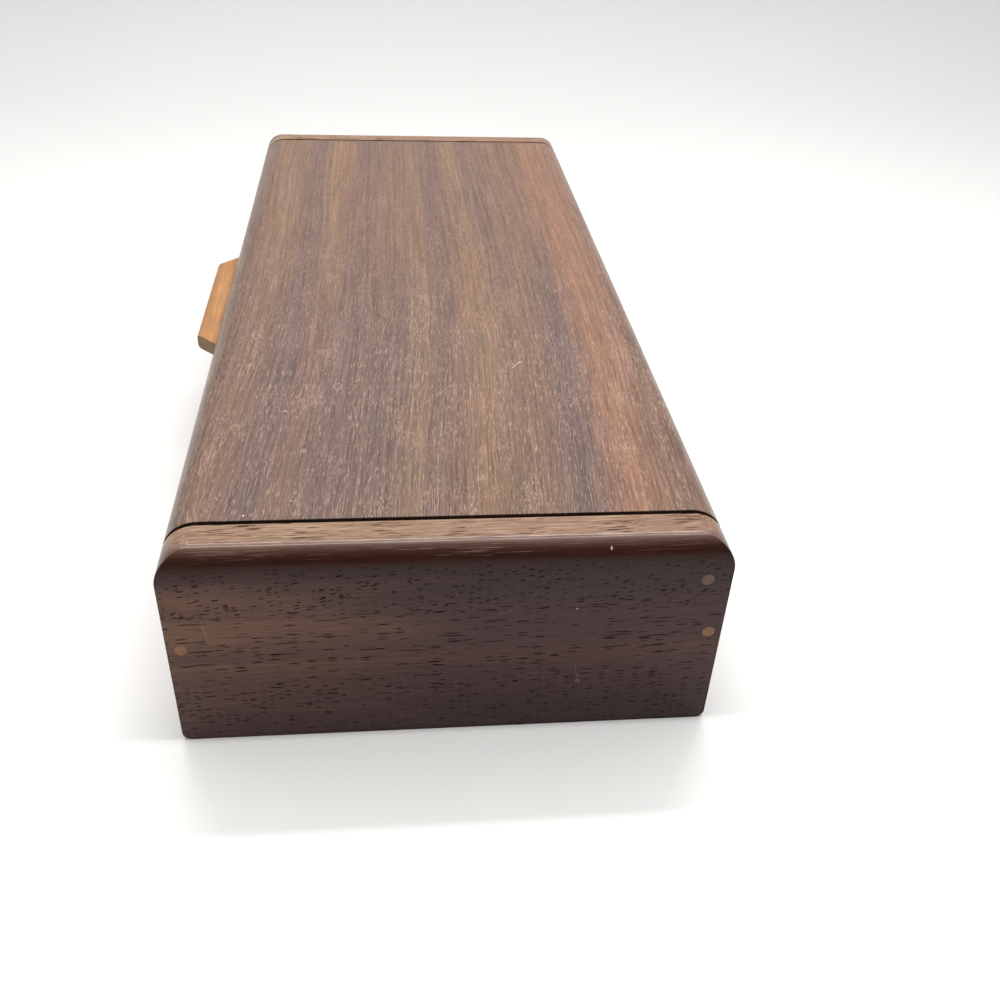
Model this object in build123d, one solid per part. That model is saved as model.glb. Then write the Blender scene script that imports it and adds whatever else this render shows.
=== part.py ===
from build123d import *
import math
import os

# Valet box: a long, low hardwood box for watches, keys and cards.
# Two thick end panels stand the full height of the box. The front and back walls, the bottom
# and a thick lid lie between them. The lid turns on two wooden pins that go through the end
# panels near the back, and a tapered pull stands out of its front edge.
# X runs along the box, the front with the pull faces -Y, and Z is up.
# The origin is the middle of the underside. All sizes are in millimetres.

# Outside of the closed box
box_length = 311.2           # along X, over the end panels
box_width = 133.0            # front face to back face, without the pull
box_height = 58.5            # underside to the flat top
edge_round = 9.0             # round along the two long top edges, over lid and end panels alike
foot_round = 2.3             # round along the two long bottom edges
arris = 0.4                  # easing of the edges that a hand meets

# End panels
end_thickness = 10.7
end_round = 8.0              # radius of the round along the outer top edge
end_round_drop = 6.5         # that round starts this far below the top
end_round_ease = 3.0         # softening where it breaks into the flat top

# Walls and bottom
wall_thickness = 6.4
tongue_thickness = 3.2       # tongue on each wall end, and the ledge over the bottom
tongue_length = 3.0
bottom_thickness = 4.8
bottom_lap = 4.0             # how far the bottom runs into each end panel
glue_gap = 0.1               # room for glue at the blind end of a joint

# Dowels that pin the walls to the end panels
dowel_diameter = 3.2
dowel_height = 30.1          # axis above the underside
dowel_grip = 20.0            # length of dowel inside the wall
bore_end_gap = 0.5           # a blind bore is deeper than its dowel or pin by this

# Lid and its hinge
lid_thickness = 17.7
lid_end_gap = 1.3            # open gap between the lid and each end panel
hinge_inset = 5.9            # pin axis from the back face and from the lid's underside
hinge_swing_gap = 0.6        # the back wall stops this far below the lid
pin_diameter = 3.2
pin_running_gap = 0.05       # radial play of the lid on its pins
pin_grip = 12.0              # length of pin inside the lid

# Pull on the lid's front edge
pull_length = 72.2           # at the lid's face, the longer side of its taper
pull_reach = 7.9             # how far it stands out of the lid
pull_thickness = 4.7
pull_drop = 10.5             # its top below the top of the box
pull_taper = 45.0            # degrees between its cut ends and the lid's face
pull_ease = 1.2              # round along its front edges
pull_arris = 0.3
pull_tongue_length = 54.0
pull_tongue_depth = 6.0

# Dividers and lining pads inside
centre_compartment = 110.0   # clear length between the two dividers
divider_thickness = 4.0
divider_drop = 6.5           # divider tops below the lid
divider_housing = 2.0        # depth of the grooves that hold the dividers
divider_ease = 1.2
lining_thickness = 2.0
lining_gap = 0.3             # room between a lining pad and the wood round it

# Places that follow from the sizes above
end_x = box_length / 2
inner_end_x = end_x - end_thickness
lid_end_x = inner_end_x - lid_end_gap
divider_x = (centre_compartment + divider_thickness) / 2
face_y = box_width / 2
inner_wall_y = face_y - wall_thickness
tongue_y = inner_wall_y + tongue_thickness
hinge_y = face_y - hinge_inset
lid_z = box_height - lid_thickness
hinge_z = lid_z + hinge_inset
divider_top_z = lid_z - divider_drop
pull_top_z = box_height - pull_drop


def block(x_range, y_range, z_range):
    """A plain box between two limits on each axis."""
    ranges = (x_range, y_range, z_range)
    middle = [(low + high) / 2 for low, high in ranges]
    size = [high - low for low, high in ranges]
    return Pos(*middle) * Box(*size)


def rod(diameter, x_from, x_to, y, z):
    """A round bar along X."""
    middle = Pos((x_from + x_to) / 2, y, z)
    return middle * Rot(0, 90, 0) * Cylinder(diameter / 2, abs(x_to - x_from))


def panel(across, up):
    """A flat rectangle between two limits each way, to be rounded and drawn out."""
    middle = ((across[0] + across[1]) / 2, (up[0] + up[1]) / 2)
    return Location(middle) * Rectangle(across[1] - across[0], up[1] - up[0])


def round_corner(section, across, up, radius):
    """Rounds the corner of a flat section that is nearest to the given place."""
    nearest = section.vertices().sort_by(lambda v: math.hypot(v.X - across, v.Y - up))[0]
    return fillet(nearest, radius)


def draw_along_x(section, half_length):
    """Draws a YZ section out to both sides of the middle."""
    return extrude(Plane.YZ * section, amount=half_length, both=True)


def both_ends(make):
    """A piece made for the +X end, and its mirror image for the other end."""
    right = make()
    return {"right": right, "left": mirror(right, about=Plane.YZ)}


def end_panel():
    """The full-height panel at the +X end, with every joint cut into its inner face."""
    outline = panel((-face_y, face_y), (0, box_height))
    for side_y in (-face_y, face_y):
        outline = round_corner(outline, side_y, box_height, edge_round)
        outline = round_corner(outline, side_y, 0, foot_round)

    # The outer top round is an arc tangent to the outer face. Its centre is nearer to the top
    # than its radius, so it breaks into the flat top at a soft edge and not at a tangent
    arc_x = end_x - end_round
    arc_z = box_height - end_round_drop
    profile = panel((inner_end_x, end_x), (0, box_height))
    waste = panel((arc_x, end_x), (arc_z, box_height)) - Pos(arc_x, arc_z) * Circle(end_round)
    profile -= waste
    break_x = arc_x + math.sqrt(end_round**2 - end_round_drop**2)
    profile = round_corner(profile, break_x, box_height, end_round_ease)
    profile = round_corner(profile, inner_end_x, box_height, arris)

    solid = draw_along_x(outline, end_x) & extrude(Plane.XZ * profile, amount=face_y, both=True)

    # Stopped grooves for the wall tongues, and a stopped recess for the bottom
    groove_x = (inner_end_x - tongue_length, inner_end_x + tongue_length)
    solid -= block(groove_x, (-tongue_y, -inner_wall_y), (bottom_thickness, lid_z))
    back_top_z = lid_z - hinge_swing_gap
    solid -= block(groove_x, (inner_wall_y, tongue_y), (bottom_thickness, back_top_z))
    recess_x = (inner_end_x - bottom_lap, inner_end_x + bottom_lap)
    solid -= block(recess_x, (-tongue_y, tongue_y), (0, bottom_thickness))

    # Through holes for the hinge pin and for the dowels of both walls
    solid -= rod(pin_diameter, 0, end_x, hinge_y, hinge_z)
    for side in (-1, 1):
        solid -= wall_dowel_hole(side)
    return solid


def wall_dowel(side, blind_gap=0):
    """The dowel through the +X end panel into the front (-1) or back (1) wall."""
    y = side * (face_y - wall_thickness / 2)
    return rod(dowel_diameter, inner_end_x - dowel_grip - blind_gap, end_x, y, dowel_height)


def wall_dowel_hole(side):
    """The hole for that dowel, deeper than the dowel at its blind end."""
    return wall_dowel(side, bore_end_gap)


def hinge_pin():
    """The fixed pin at the +X end, flush outside and running in the lid."""
    return rod(pin_diameter, lid_end_x - pin_grip, end_x, hinge_y, hinge_z)


def wall(side, top_z):
    """A long wall, front (-1) or back (1), with its tongues, ledge and grooves."""
    section = panel((inner_wall_y, face_y), (0, top_z))
    section = round_corner(section, face_y, 0, foot_round)
    section = round_corner(section, face_y, top_z, arris)
    section = round_corner(section, inner_wall_y, top_z, arris)
    solid = draw_along_x(section, inner_end_x)

    # The inner half runs on past both shoulders as a tongue, and stops over the bottom
    tongue_x = inner_end_x + tongue_length - glue_gap
    tongue_range_y = (inner_wall_y, tongue_y)
    solid += block((-tongue_x, tongue_x), tongue_range_y, (bottom_thickness, top_z - arris))
    solid -= block((-inner_end_x, inner_end_x), tongue_range_y, (0, bottom_thickness))

    # Grooves for the dividers, open at the bottom
    housing_y = (inner_wall_y - divider_housing, inner_wall_y + divider_housing)
    for middle_x in (-divider_x, divider_x):
        groove_x = (middle_x - divider_thickness / 2, middle_x + divider_thickness / 2)
        solid -= block(groove_x, housing_y, (0, divider_top_z))

    # Dowel holes in the end grain
    hole = wall_dowel_hole(1)
    solid -= hole
    solid -= mirror(hole, about=Plane.YZ)
    return solid if side > 0 else mirror(solid, about=Plane.XZ)


def bottom():
    """The bottom, let in flush with the underside."""
    half_x = inner_end_x + bottom_lap - glue_gap
    half_y = tongue_y - glue_gap
    return block((-half_x, half_x), (-half_y, half_y), (0, bottom_thickness))


def pull_tongue(clearance):
    """The tongue that holds the pull in the lid, or with no clearance its slot."""
    half_x = pull_tongue_length / 2 - clearance
    y_range = (-face_y, -face_y + pull_tongue_depth - clearance)
    return block((-half_x, half_x), y_range, (pull_top_z - pull_thickness, pull_top_z))


def pull():
    """The tapered pull with its ends cut at an angle, and the tongue behind it."""
    front_y = -face_y - pull_reach
    half_back = pull_length / 2
    half_front = half_back - pull_reach / math.tan(math.radians(pull_taper))
    outline = make_face(Polyline((-half_back, -face_y), (half_back, -face_y),
                                 (half_front, front_y), (-half_front, front_y), close=True))
    tab = extrude(Pos(0, 0, pull_top_z - pull_thickness) * outline, amount=pull_thickness)
    front_edges = tab.edges().filter_by(Axis.X).group_by(Axis.Y)[0]
    tab = fillet(front_edges, pull_ease)
    # The cut ends lose their sharp edges too, except where they meet the lid
    cut_ends = tab.faces().filter_by(lambda face: face.is_planar and abs(face.normal_at().X) > 0.1)
    free_edges = cut_ends.edges().filter_by(lambda edge: edge.center().Y < -face_y - pull_arris)
    return chamfer(free_edges, pull_arris) + pull_tongue(glue_gap)


def lid():
    """The thick lid, its front and top rounded and its lower back edge rolled round the pins."""
    section = panel((-face_y, face_y), (lid_z, box_height))
    section = round_corner(section, -face_y, box_height, edge_round)
    section = round_corner(section, face_y, box_height, edge_round)
    section = round_corner(section, face_y, lid_z, hinge_inset)
    section = round_corner(section, -face_y, lid_z, arris)
    solid = draw_along_x(section, lid_end_x)
    ends = solid.faces().sort_by(Axis.X)
    solid = chamfer(ends[0].edges() + ends[-1].edges(), arris / 2)
    solid -= pull_tongue(0)

    # Blind bores for the hinge pins
    bore_end_x = lid_end_x - pin_grip - bore_end_gap
    bore = rod(pin_diameter + 2 * pin_running_gap, bore_end_x, lid_end_x, hinge_y, hinge_z)
    return solid - bore - mirror(bore, about=Plane.YZ)


def divider():
    """The divider on the +X side, held in the grooves of both walls."""
    x_range = (divider_x - divider_thickness / 2, divider_x + divider_thickness / 2)
    profile = panel(x_range, (bottom_thickness, divider_top_z))
    for x in x_range:
        profile = round_corner(profile, x, divider_top_z, divider_ease)
    half_length = inner_wall_y + divider_housing - glue_gap
    return extrude(Plane.XZ * profile, amount=half_length, both=True)


def lining(x_low, x_high):
    """A lining pad that lies on the bottom between two uprights."""
    half_y = inner_wall_y - lining_gap
    z_range = (bottom_thickness, bottom_thickness + lining_thickness)
    return block((x_low + lining_gap, x_high - lining_gap), (-half_y, half_y), z_range)


def pieces():
    """Every piece by name."""
    made = {
        "front_wall": wall(-1, lid_z),
        "back_wall": wall(1, lid_z - hinge_swing_gap),
        "bottom_panel": bottom(),
        "lid_board": lid(),
        "lid_pull": pull(),
        "lining_pad_centre": lining(-centre_compartment / 2, centre_compartment / 2),
    }
    for end, solid in both_ends(end_panel).items():
        made["end_panel_" + end] = solid
    for end, solid in both_ends(hinge_pin).items():
        made["hinge_pin_" + end] = solid
    for end, solid in both_ends(lambda: wall_dowel(-1)).items():
        made["front_wall_dowel_" + end] = solid
    for end, solid in both_ends(lambda: wall_dowel(1)).items():
        made["back_wall_dowel_" + end] = solid
    for end, solid in both_ends(divider).items():
        made["divider_" + end] = solid
    outer_start_x = divider_x + divider_thickness / 2
    for end, solid in both_ends(lambda: lining(outer_start_x, inner_end_x)).items():
        made["lining_pad_" + end] = solid
    return made


os.makedirs("parts", exist_ok=True)
for name, solid in pieces().items():
    export_step(solid, f"parts/{name}.step")
    print(name, round(solid.volume, 1))
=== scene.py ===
"""A rosewood valet box on a white sweep: its wood, joints and lining, with light and camera.

The box is built piece by piece as a box maker would lay it out: two end panels, two long walls,
a let-in bottom, a thick lid on wooden pins with a pull on its front edge, dowels, dividers and
lining pads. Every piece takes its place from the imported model, so nothing is fitted by eye.
"""

import logging
import math
from abc import ABC, abstractmethod
from collections.abc import Callable, Iterable, Sequence
from dataclasses import dataclass
from enum import Enum

import bmesh
import bpy
from mathutils import Matrix, Vector, noise


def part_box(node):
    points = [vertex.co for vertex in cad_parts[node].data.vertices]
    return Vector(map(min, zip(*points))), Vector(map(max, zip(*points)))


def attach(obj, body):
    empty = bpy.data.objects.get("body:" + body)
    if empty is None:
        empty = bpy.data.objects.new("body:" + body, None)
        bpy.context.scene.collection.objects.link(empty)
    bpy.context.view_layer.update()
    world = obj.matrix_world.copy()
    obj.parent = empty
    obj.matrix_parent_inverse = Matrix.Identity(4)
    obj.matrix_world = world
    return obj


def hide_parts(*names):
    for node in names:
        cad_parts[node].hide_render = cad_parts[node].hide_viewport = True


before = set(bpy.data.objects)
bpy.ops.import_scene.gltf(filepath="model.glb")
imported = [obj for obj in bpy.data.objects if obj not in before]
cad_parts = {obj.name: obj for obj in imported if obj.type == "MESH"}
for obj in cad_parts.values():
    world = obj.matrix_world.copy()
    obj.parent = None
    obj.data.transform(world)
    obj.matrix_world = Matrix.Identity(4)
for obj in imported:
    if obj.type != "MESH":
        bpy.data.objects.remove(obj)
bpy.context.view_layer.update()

log = logging.getLogger("valet_box")

MM = 0.001
ENDS = ("right", "left")
PIN_KINDS = ("hinge_pin", "front_wall_dowel", "back_wall_dowel")
Socket = bpy.types.NodeSocket
Colour = tuple[float, float, float]


class Body(Enum):
    """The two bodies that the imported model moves."""

    BOX = "box"
    LID = "lid"


class Slot(Enum):
    """The names of the record's material slots."""

    ROSEWOOD = "dark_hardwood"
    PULL = "pull_wood"
    DOWEL = "dowel_wood"
    DIVIDER = "divider_wood"
    SUEDE = "suede"


class Grain(Enum):
    """The turn in degrees that brings a board's length, width and thickness to x, y and z."""

    FLAT_ALONG_X = (0.0, 0.0, 0.0)
    UPRIGHT_ALONG_X = (-90.0, 0.0, 0.0)
    UPRIGHT_ALONG_Y = (-90.0, -90.0, 0.0)


class Tone(Enum):
    """The shades that one rosewood board passes through."""

    EBONY = (0.008, 0.004, 0.004)
    INK = (0.046, 0.017, 0.019)
    PLUM = (0.074, 0.029, 0.028)
    COCOA = (0.112, 0.048, 0.038)
    CHESTNUT = (0.205, 0.096, 0.052)
    # Painted shade in part: the end panels' rounded top edge takes this near-black red.
    SHADED_GARNET = (0.034, 0.008, 0.004)
    MAROON = (0.108, 0.046, 0.033)
    STRAW = (0.270, 0.160, 0.098)
    SMOKE = (0.088, 0.072, 0.066)
    PURPLE = (0.147, 0.093, 0.084)
    UMBER = (0.169, 0.101, 0.078)
    RUSSET = (0.209, 0.117, 0.079)
    TAN = (0.236, 0.142, 0.085)
    ORANGE = (0.274, 0.139, 0.086)


@dataclass(frozen=True)
class Stripe:
    """One stripe of a board's figure.

    Attributes:
        place: Its middle across the board, in millimetres.
        tone: Its shade.
    """

    place: float
    tone: Tone


class Bench:
    """The node tree of one material, with a short call for each kind of node."""

    def __init__(self, name: str) -> None:
        """Starts a material with its usual surface shader.

        Args:
            name: The material's name.
        """
        self.material = bpy.data.materials.new(name)
        self.material.use_nodes = True
        self.tree = self.material.node_tree
        self.shader = self.tree.nodes["Principled BSDF"]

    def node(
        self, kind: str, inputs: dict[str | int, object] | None = None, **settings: object,
    ) -> bpy.types.Node:
        """Adds a node.

        Args:
            kind: The node's type, without its ShaderNode prefix.
            inputs: A value, or a socket to link, for each input by name or place.
            settings: The node's own properties.

        Returns:
            The new node.
        """
        made = self.tree.nodes.new("ShaderNode" + kind)
        for name, value in settings.items():
            setattr(made, name, value)
        for name, value in (inputs or {}).items():
            self.feed(made.inputs[name], value)
        return made

    def feed(self, target: Socket, value: object) -> None:
        """Links a socket to an input, or sets the input to a value or an opaque colour.

        Args:
            target: The input.
            value: A socket, a number, a place or a colour.
        """
        if isinstance(value, Socket):
            self.tree.links.new(value, target)
        elif target.type == "RGBA":
            target.default_value = (*value, 1.0)
        else:
            target.default_value = value

    def math(self, operation: str, *values: float | Socket) -> Socket:
        """One sum on one to three numbers."""
        return self.node("Math", dict(enumerate(values)), operation=operation).outputs[0]

    def board_axes(self, grain: Grain, shift: Sequence[float]) -> tuple[Socket, Socket, Socket]:
        """Splits a board's own millimetres into along, across and through.

        Args:
            grain: The way that the board's grain runs.
            shift: Where in the log the board was cut, in millimetres.

        Returns:
            The three sockets, with the grain first.
        """
        place = self.node("TexCoord").outputs["Object"]
        turn = [math.radians(angle) for angle in grain.value]
        inputs = {"Vector": place, "Location": shift, "Rotation": turn, "Scale": (1 / MM,) * 3}
        mapped = self.node("Mapping", inputs)
        split = self.node("SeparateXYZ", {0: mapped.outputs[0]})
        return split.outputs[0], split.outputs[1], split.outputs[2]

    def stretched(self, axes: Sequence[Socket], lengths: Sequence[float]) -> Socket:
        """A pattern place that is counted in lengths of its own along each axis."""
        parts = [self.math("DIVIDE", axis, length) for axis, length in zip(axes, lengths)]
        return self.node("CombineXYZ", dict(enumerate(parts))).outputs[0]

    def noise(self, place: Socket, detail: float = 2.0, rough: float = 0.5, twist: float = 0.0) -> Socket:
        """Smooth noise from 0 to 1 with features about one unit across."""
        inputs = {"Vector": place, "Scale": 1.0, "Detail": detail, "Roughness": rough, "Distortion": twist}
        return self.node("TexNoise", inputs).outputs[0]

    def sway(self, wave: Socket, reach: float) -> Socket:
        """Noise about zero, to either side by up to about the reach."""
        return self.math("MULTIPLY", self.math("SUBTRACT", wave, 0.5), 2 * reach)

    def between(
        self, value: Socket, low: float, high: float, start: float = 0.0, end: float = 1.0,
    ) -> Socket:
        """Runs smoothly from start to end while the value runs from low to high."""
        inputs = {"Value": value, "From Min": low, "From Max": high, "To Min": start, "To Max": end}
        return self.node("MapRange", inputs, interpolation_type="SMOOTHSTEP").outputs[0]

    def mix(
        self, share: float | Socket, first: Socket | Colour, second: Socket | Colour, blend: str = "MIX",
    ) -> Socket:
        """Lays the second colour over the first by a share."""
        inputs = {0: share, 6: first, 7: second}
        return self.node("Mix", inputs, data_type="RGBA", blend_type=blend).outputs[2]

    def shade(self, colour: Socket | Colour, factor: Socket) -> Socket:
        """Multiplies a colour by a number."""
        grey = self.node("CombineColor", {0: factor, 1: factor, 2: factor}).outputs[0]
        return self.mix(1.0, colour, grey, "MULTIPLY")

    def stripes(self, across: Socket, stripes: Sequence[Stripe]) -> Socket:
        """Lays a board's stripes side by side as one soft run of colour.

        Args:
            across: The board's axis across the grain.
            stripes: The stripes, in order of place.

        Returns:
            The colour.
        """
        low, high = stripes[0].place, stripes[-1].place
        share = self.node("MapRange", {"Value": across, "From Min": low, "From Max": high}).outputs[0]
        made = self.node("ValToRGB", {0: share})
        ramp = made.color_ramp
        ramp.interpolation = "B_SPLINE"
        while len(ramp.elements) < len(stripes):
            ramp.elements.new(1.0)
        for element, stripe in zip(ramp.elements, stripes):
            element.position = (stripe.place - low) / (high - low)
        for element, stripe in zip(ramp.elements, stripes):
            element.color = (*stripe.tone.value, 1.0)
        return made.outputs[0]

    def pore_mask(self, axes: Sequence[Socket], pores: "Pores") -> Socket:
        """Scattered short dashes along the grain.

        Args:
            axes: The board's axes, with the grain first.
            pores: The kind of pore.

        Returns:
            A mask that is 1 in a pore.
        """
        along, across, through = axes
        rough = self.noise(self.stretched(axes, (0.9, 0.4, 0.4)), 2.0)
        ragged = self.sway(rough, pores.cell[1] * pores.ragged)
        level = self.math("ADD", self.math("MULTIPLY_ADD", along, -pores.lean, across), ragged)
        place = self.stretched((along, level, through), pores.cell)
        made = self.node("TexVoronoi", {"Vector": place, "Scale": 1.0})
        chances = self.node("SeparateColor", {0: made.outputs["Color"]}).outputs
        grown = self.math("DIVIDE", made.outputs["Distance"], self.between(chances[1], 0.0, 1.0, 0.6, 1.15))
        spot = self.between(grown, pores.size * 0.75, pores.size, 1.0, 0.0)
        patches = self.noise(self.stretched(axes, pores.patch), 1.0)
        fewest, most = pores.share * (1 - pores.patchy), pores.share * (1 + pores.patchy)
        limit = self.between(patches, 0.35, 0.65, fewest, most)
        mask = self.math("MULTIPLY", spot, self.math("LESS_THAN", chances[0], limit))
        return self.math("MULTIPLY", mask, self.zone(across, pores.zone, pores.zone_edge))

    def streak_mask(self, axes: Sequence[Socket], flecks: "Flecks") -> Socket:
        """Thin broken lines along the grain.

        Args:
            axes: The board's axes, with the grain first.
            flecks: The kind of fleck.

        Returns:
            A mask that is 1 in a fleck.
        """
        along, across, through = axes
        level = self.math("MULTIPLY_ADD", along, -flecks.lean, across)
        lines = self.noise(self.stretched((along, level, through), flecks.size), 2.0, 0.6)
        patches = self.noise(self.stretched(axes, flecks.patch), 2.0)
        eased = self.math("MULTIPLY_ADD", self.math("SUBTRACT", patches, 0.5), flecks.patchy, lines)
        mask = self.between(eased, flecks.start, flecks.start + flecks.blend)
        return self.math("MULTIPLY", mask, self.zone(across, flecks.zone, 1.5))

    def zone(self, across: Socket, zone: tuple[float, float] | None, edge: float) -> Socket | float:
        """Marks off one band of a board.

        Args:
            across: The board's axis across the grain.
            zone: Where the band runs from and to, in millimetres, or None for the whole board.
            edge: How softly it ends, in millimetres.

        Returns:
            A mask that is 1 in the band, or the number 1 for the whole board.
        """
        if zone is None:
            return 1.0
        above = self.between(across, zone[0] - edge, zone[0] + edge)
        below = self.between(across, zone[1] - edge, zone[1] + edge, 1.0, 0.0)
        return self.math("MULTIPLY", above, below)

    def relief(self, height: Socket, depth: float, strength: float = 1.0) -> Socket:
        """A bump of the given depth in metres."""
        inputs = {"Height": height, "Distance": depth, "Strength": strength}
        return self.node("Bump", inputs).outputs[0]

    def finish(self, **inputs: object) -> bpy.types.Material:
        """Feeds the surface shader.

        Args:
            inputs: A value or a socket for each input, named with underscores for its spaces.

        Returns:
            The finished material.
        """
        for name, value in inputs.items():
            self.feed(self.shader.inputs[name.replace("_", " ")], value)
        return self.material


class Finish(ABC):
    """A finish that can dress a piece."""

    @abstractmethod
    def material(self) -> bpy.types.Material:
        """Makes the material."""


@dataclass(frozen=True)
class Pores:
    """One kind of open pore.

    Attributes:
        cell: The room for each pore along, across and through, in millimetres.
        size: Half a pore's size as a share of its cell.
        share: The share of cells that hold a pore, from 0 to 1.
        lean: How far the pores rise across for each millimetre along.
        zone: Where across the board they lie, from and to, in millimetres.
        zone_edge: How softly they thin out there, in millimetres.
        patch: The size of the patches in which they crowd, in millimetres.
        patchy: How far the share rises and falls from patch to patch, from 0 to 1.
        ragged: How uneven their outlines are, as a share of the cell.
    """

    cell: tuple[float, float, float]
    size: float = 0.3
    share: float = 0.5
    lean: float = 0.0
    zone: tuple[float, float] | None = None
    zone_edge: float = 3.0
    patch: tuple[float, float, float] = (30.0, 8.0, 8.0)
    patchy: float = 0.5
    ragged: float = 0.15


@dataclass(frozen=True)
class Flecks:
    """Thin broken lines, where pores have filled with finish and dust.

    Attributes:
        size: The size of their pattern along, across and through, in millimetres.
        start: The level from which a fleck shows, from 0 to 1.
        blend: How far above that level it shows fully.
        lean: How far the lines rise across for each millimetre along.
        zone: Where across the board they lie, from and to, in millimetres.
        patch: The size of the patches in which they crowd, in millimetres.
        patchy: How strongly they crowd there.
    """

    size: tuple[float, float, float]
    start: float = 0.58
    blend: float = 0.12
    lean: float = 0.0
    zone: tuple[float, float] | None = None
    patch: tuple[float, float, float] = (22.0, 9.0, 9.0)
    patchy: float = 0.25


@dataclass(frozen=True)
class Nick:
    """A small pale mark on a worn surface.

    Attributes:
        place: Its middle, along and across the board, in millimetres.
        size: Its half length and half width, in millimetres.
        turn: Its turn from the grain, in degrees.
        strength: How plainly it shows, from 0 to 1.
        hollow: Whether only its rim shows.
    """

    place: tuple[float, float]
    size: tuple[float, float]
    turn: float = 0.0
    strength: float = 0.55
    hollow: bool = False


@dataclass(frozen=True)
class Rosewood(Finish):
    """Open-grained dark rosewood with a rubbed satin finish.

    Attributes:
        name: The material's name.
        grain: The way that the board was cut.
        near: The stripes at the board's high end.
        far: The stripes at its low end.
        tilt: How far the growth rings lean through the board's thickness.
        bend: How far the stripes run off across at the board's high end, in millimetres.
        wander: How far they sway slowly, in millimetres.
        waver: How far they sway quickly, in millimetres.
        shift: Where in the log the board was cut, in millimetres.
        contrast: How strongly streaks within the stripes differ.
        hair: The length and width of the finest lines, in millimetres.
        pores: The kinds of dark open pore.
        flecks: The kinds of pale fleck.
        fleck_light: How much paler the flecks are, from 0 to 1.
        keenness: How plainly fine lines and flecks show at the low end and at the high end.
        turning: Where along the board the far stripes give way to the near ones, in millimetres.
        lightness_and_shade: How light the figure is at the low end and at the high end; on the lid the
            darker high end is painted shade.
        smoke: How strongly dark cloudy patches show, from 0 to 1.
        cut_end: Where the duller, darker end grain begins, to both sides of the middle, in millimetres, and
            how light it is; on the lid it is partly painted shade in the gaps at its ends.
        polish: The strength of the rubbed polish, which the open pores lack.
        polish_rough: Its roughness.
        nicks: Marks of use.
    """

    name: str
    grain: Grain
    near: tuple[Stripe, ...]
    far: tuple[Stripe, ...]
    tilt: float = 0.8
    bend: float = 0.0
    wander: float = 3.0
    waver: float = 0.7
    shift: tuple[float, float, float] = (0.0, 0.0, 0.0)
    contrast: float = 1.0
    hair: tuple[float, float] = (14.0, 0.42)
    pores: tuple[Pores, ...] = ()
    flecks: tuple[Flecks, ...] = ()
    fleck_light: float = 0.30
    keenness: tuple[float, float] = (0.9, 0.9)
    turning: tuple[float, float] = (-70.0, 70.0)
    lightness_and_shade: tuple[float, float] = (1.0, 1.0)
    smoke: float = 0.0
    cut_end: tuple[float, float] | None = None
    polish: float = 0.45
    polish_rough: float = 0.22
    nicks: tuple[Nick, ...] = ()

    def material(self) -> bpy.types.Material:
        """Makes the wood's figure, pores, sheen and relief.

        Returns:
            The new material.
        """
        bench = Bench(self.name)
        along, across, through = bench.board_axes(self.grain, self.shift)
        board = (along, across, through)
        slow = bench.sway(bench.noise(bench.stretched(board, (150, 45, 45)), 1.0), self.wander)
        quick = bench.sway(bench.noise(bench.stretched(board, (34, 5, 5)), 3.0), self.waver)
        leaning = bench.math("MULTIPLY_ADD", through, self.tilt, across)
        bent = bench.math("ADD", bench.between(along, 10.0, 190.0, 0.0, 2 * self.bend), leaning)
        ring = bench.math("ADD", bench.math("ADD", bent, slow), quick)
        axes = (along, ring, through)

        half = bench.noise(bench.stretched(axes, (60, 12, 12)), 2.0)
        reach = self.turning[1] - self.turning[0]
        nearness = bench.math("MULTIPLY_ADD", bench.math("SUBTRACT", half, 0.5), 1.1 * reach, along)
        share = bench.between(nearness, *self.turning)
        figure = bench.mix(share, bench.stripes(ring, self.far), bench.stripes(ring, self.near))
        # Lightens or darkens the figure from the low end to the high end; on the lid this is painted shade
        # that darkens its high end.
        figure = bench.shade(figure, bench.between(along, -110.0, 120.0, *self.lightness_and_shade))

        clouds = bench.noise(bench.stretched(axes, (42, 5.0, 5.0)), 3.0, 0.6, 0.6)
        smoky = bench.math("MULTIPLY", bench.between(clouds, 0.56, 0.70), self.smoke)
        figure = bench.mix(smoky, figure, Tone.SMOKE.value)
        keen = bench.between(along, -110.0, 120.0, *self.keenness)
        long_streaks = bench.noise(bench.stretched(axes, (90, 1.3, 1.3)), 3.0, 0.6)
        mottle = bench.noise(bench.stretched(axes, (5, 1.1, 1.1)), 3.0, 0.65, 0.5)
        fine = bench.noise(bench.stretched(axes, (self.hair[0], self.hair[1], self.hair[1])), 2.0, 0.65)
        for streaks, depth, share in ((long_streaks, 0.22, 1.0), (mottle, 0.08, 1.0), (fine, 0.37, keen)):
            depth *= self.contrast
            swing = bench.math("MULTIPLY", bench.between(streaks, 0.25, 0.75, -depth, depth), share)
            figure = bench.shade(figure, bench.math("ADD", swing, 1.0))

        dark_pores: Socket | float = 0.0
        for pores in self.pores:
            dark_pores = bench.math("MAXIMUM", dark_pores, bench.pore_mask(axes, pores))
        pale_flecks: Socket | float = 0.0
        for flecks in self.flecks:
            pale_flecks = bench.math("MAXIMUM", pale_flecks, bench.streak_mask(axes, flecks))
        dusty = bench.mix(self.fleck_light, figure, (0.62, 0.44, 0.33))
        colour = bench.mix(bench.math("MULTIPLY", pale_flecks, keen), figure, dusty)
        colour = bench.mix(bench.math("MULTIPLY", dark_pores, 0.97), colour, Tone.EBONY.value)
        for nick in self.nicks:
            colour = bench.mix(self._nick(bench, along, across, nick), colour, (0.75, 0.62, 0.55))

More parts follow.
